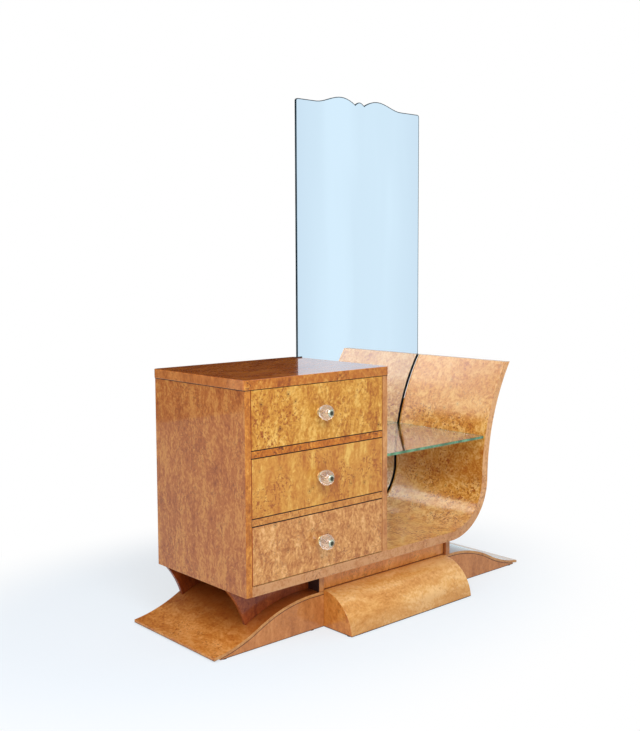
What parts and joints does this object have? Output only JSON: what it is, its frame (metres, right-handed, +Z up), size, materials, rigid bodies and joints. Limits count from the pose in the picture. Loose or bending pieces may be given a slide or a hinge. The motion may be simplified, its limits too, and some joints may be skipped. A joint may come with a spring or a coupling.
{
  "type": "dressing table",
  "caption": "Asymmetric deco dressing table: drawer cabinet, J-shaped open bay with a glass shelf and a tall frameless mirror, on an ogee plinth.",
  "frame": {"origin": "on the floor under the middle of the whole piece's box", "axes": "+Z up, the drawers face -Y and slide out along -Y, +X runs from the cabinet towards the open bay"},
  "size_m": [1.24, 0.4852, 1.51],
  "materials": {
    "top_veneer": "dark burr veneer, polished",
    "side_veneer": "burr maple veneer with upright figure, polished",
    "front_burr": "golden burr maple veneer, polished",
    "pale_burr": "pale burr maple veneer, polished",
    "plinth_burr": "burr maple veneer, polished",
    "plinth_sides": "plain maple veneer, polished",
    "mahogany": "polished mahogany",
    "drawer_wood": "bare hardwood",
    "plywood": "bare birch plywood",
    "black_paint": "black painted board",
    "chrome": "polished",
    "steel": "plain",
    "clear_resin": "polished clear ball",
    "shelf_glass": "plate glass with polished edges",
    "silvered_glass": "silvered plate glass with polished edges",
    "felt": "dark glide"
  },
  "bodies": {
    "root": {"cabinet_top": "top_veneer", "cabinet_left_side": "side_veneer", "cabinet_right_side": "side_veneer", "cabinet_back": "plywood", "upper_rail": "front_burr", "lower_rail": "front_burr", "drawer_runners": "drawer_wood", "drawer_stops": "drawer_wood", "curved_board": "pale_burr", "glass_shelf": "shelf_glass", "shelf_pins": "chrome", "mirror_glass": "silvered_glass", "mirror_backing_board": "black_paint", "mirror_left_upright": "black_paint", "mirror_right_upright": "black_paint", "mirror_cross_rail": "black_paint", "upright_screws": "steel", "pedestal_left_panel": "plinth_sides", "pedestal_right_panel": "plinth_sides", "pedestal_front_panel": "plinth_sides", "pedestal_back_panel": "plinth_sides", "front_fin": "mahogany", "back_fin": "mahogany", "plinth_skin": "plinth_burr", "plinth_front_rail": "plinth_sides", "plinth_back_rail": "plinth_sides", "plinth_ribs": "plywood", "plinth_toes": "plywood", "block_cover": "pale_burr", "block_cheeks": "pale_burr", "block_rib": "plywood", "floor_glides": "felt"},
    "upper_drawer": {"upper_drawer_front": "front_burr", "upper_drawer_left_side": "drawer_wood", "upper_drawer_right_side": "drawer_wood", "upper_drawer_back": "drawer_wood", "upper_drawer_bottom": "plywood", "upper_knob_ball": "clear_resin", "upper_knob_collar": "chrome", "upper_knob_bolt": "chrome", "upper_knob_nut": "chrome"},
    "middle_drawer": {"middle_drawer_front": "front_burr", "middle_drawer_left_side": "drawer_wood", "middle_drawer_right_side": "drawer_wood", "middle_drawer_back": "drawer_wood", "middle_drawer_bottom": "plywood", "middle_knob_ball": "clear_resin", "middle_knob_collar": "chrome", "middle_knob_bolt": "chrome", "middle_knob_nut": "chrome"},
    "lower_drawer": {"lower_drawer_front": "front_burr", "lower_drawer_left_side": "drawer_wood", "lower_drawer_right_side": "drawer_wood", "lower_drawer_back": "drawer_wood", "lower_drawer_bottom": "plywood", "lower_knob_ball": "clear_resin", "lower_knob_collar": "chrome", "lower_knob_bolt": "chrome", "lower_knob_nut": "chrome"}
  },
  "joints": [
    {"name": "upper_drawer_slide", "type": "slide", "parent": "root", "child": "upper_drawer", "axis": [0, -1, 0], "range_m": [0, 0.28]},
    {"name": "middle_drawer_slide", "type": "slide", "parent": "root", "child": "middle_drawer", "axis": [0, -1, 0], "range_m": [0, 0.28]},
    {"name": "lower_drawer_slide", "type": "slide", "parent": "root", "child": "lower_drawer", "axis": [0, -1, 0], "range_m": [0, 0.28]}
  ]
}
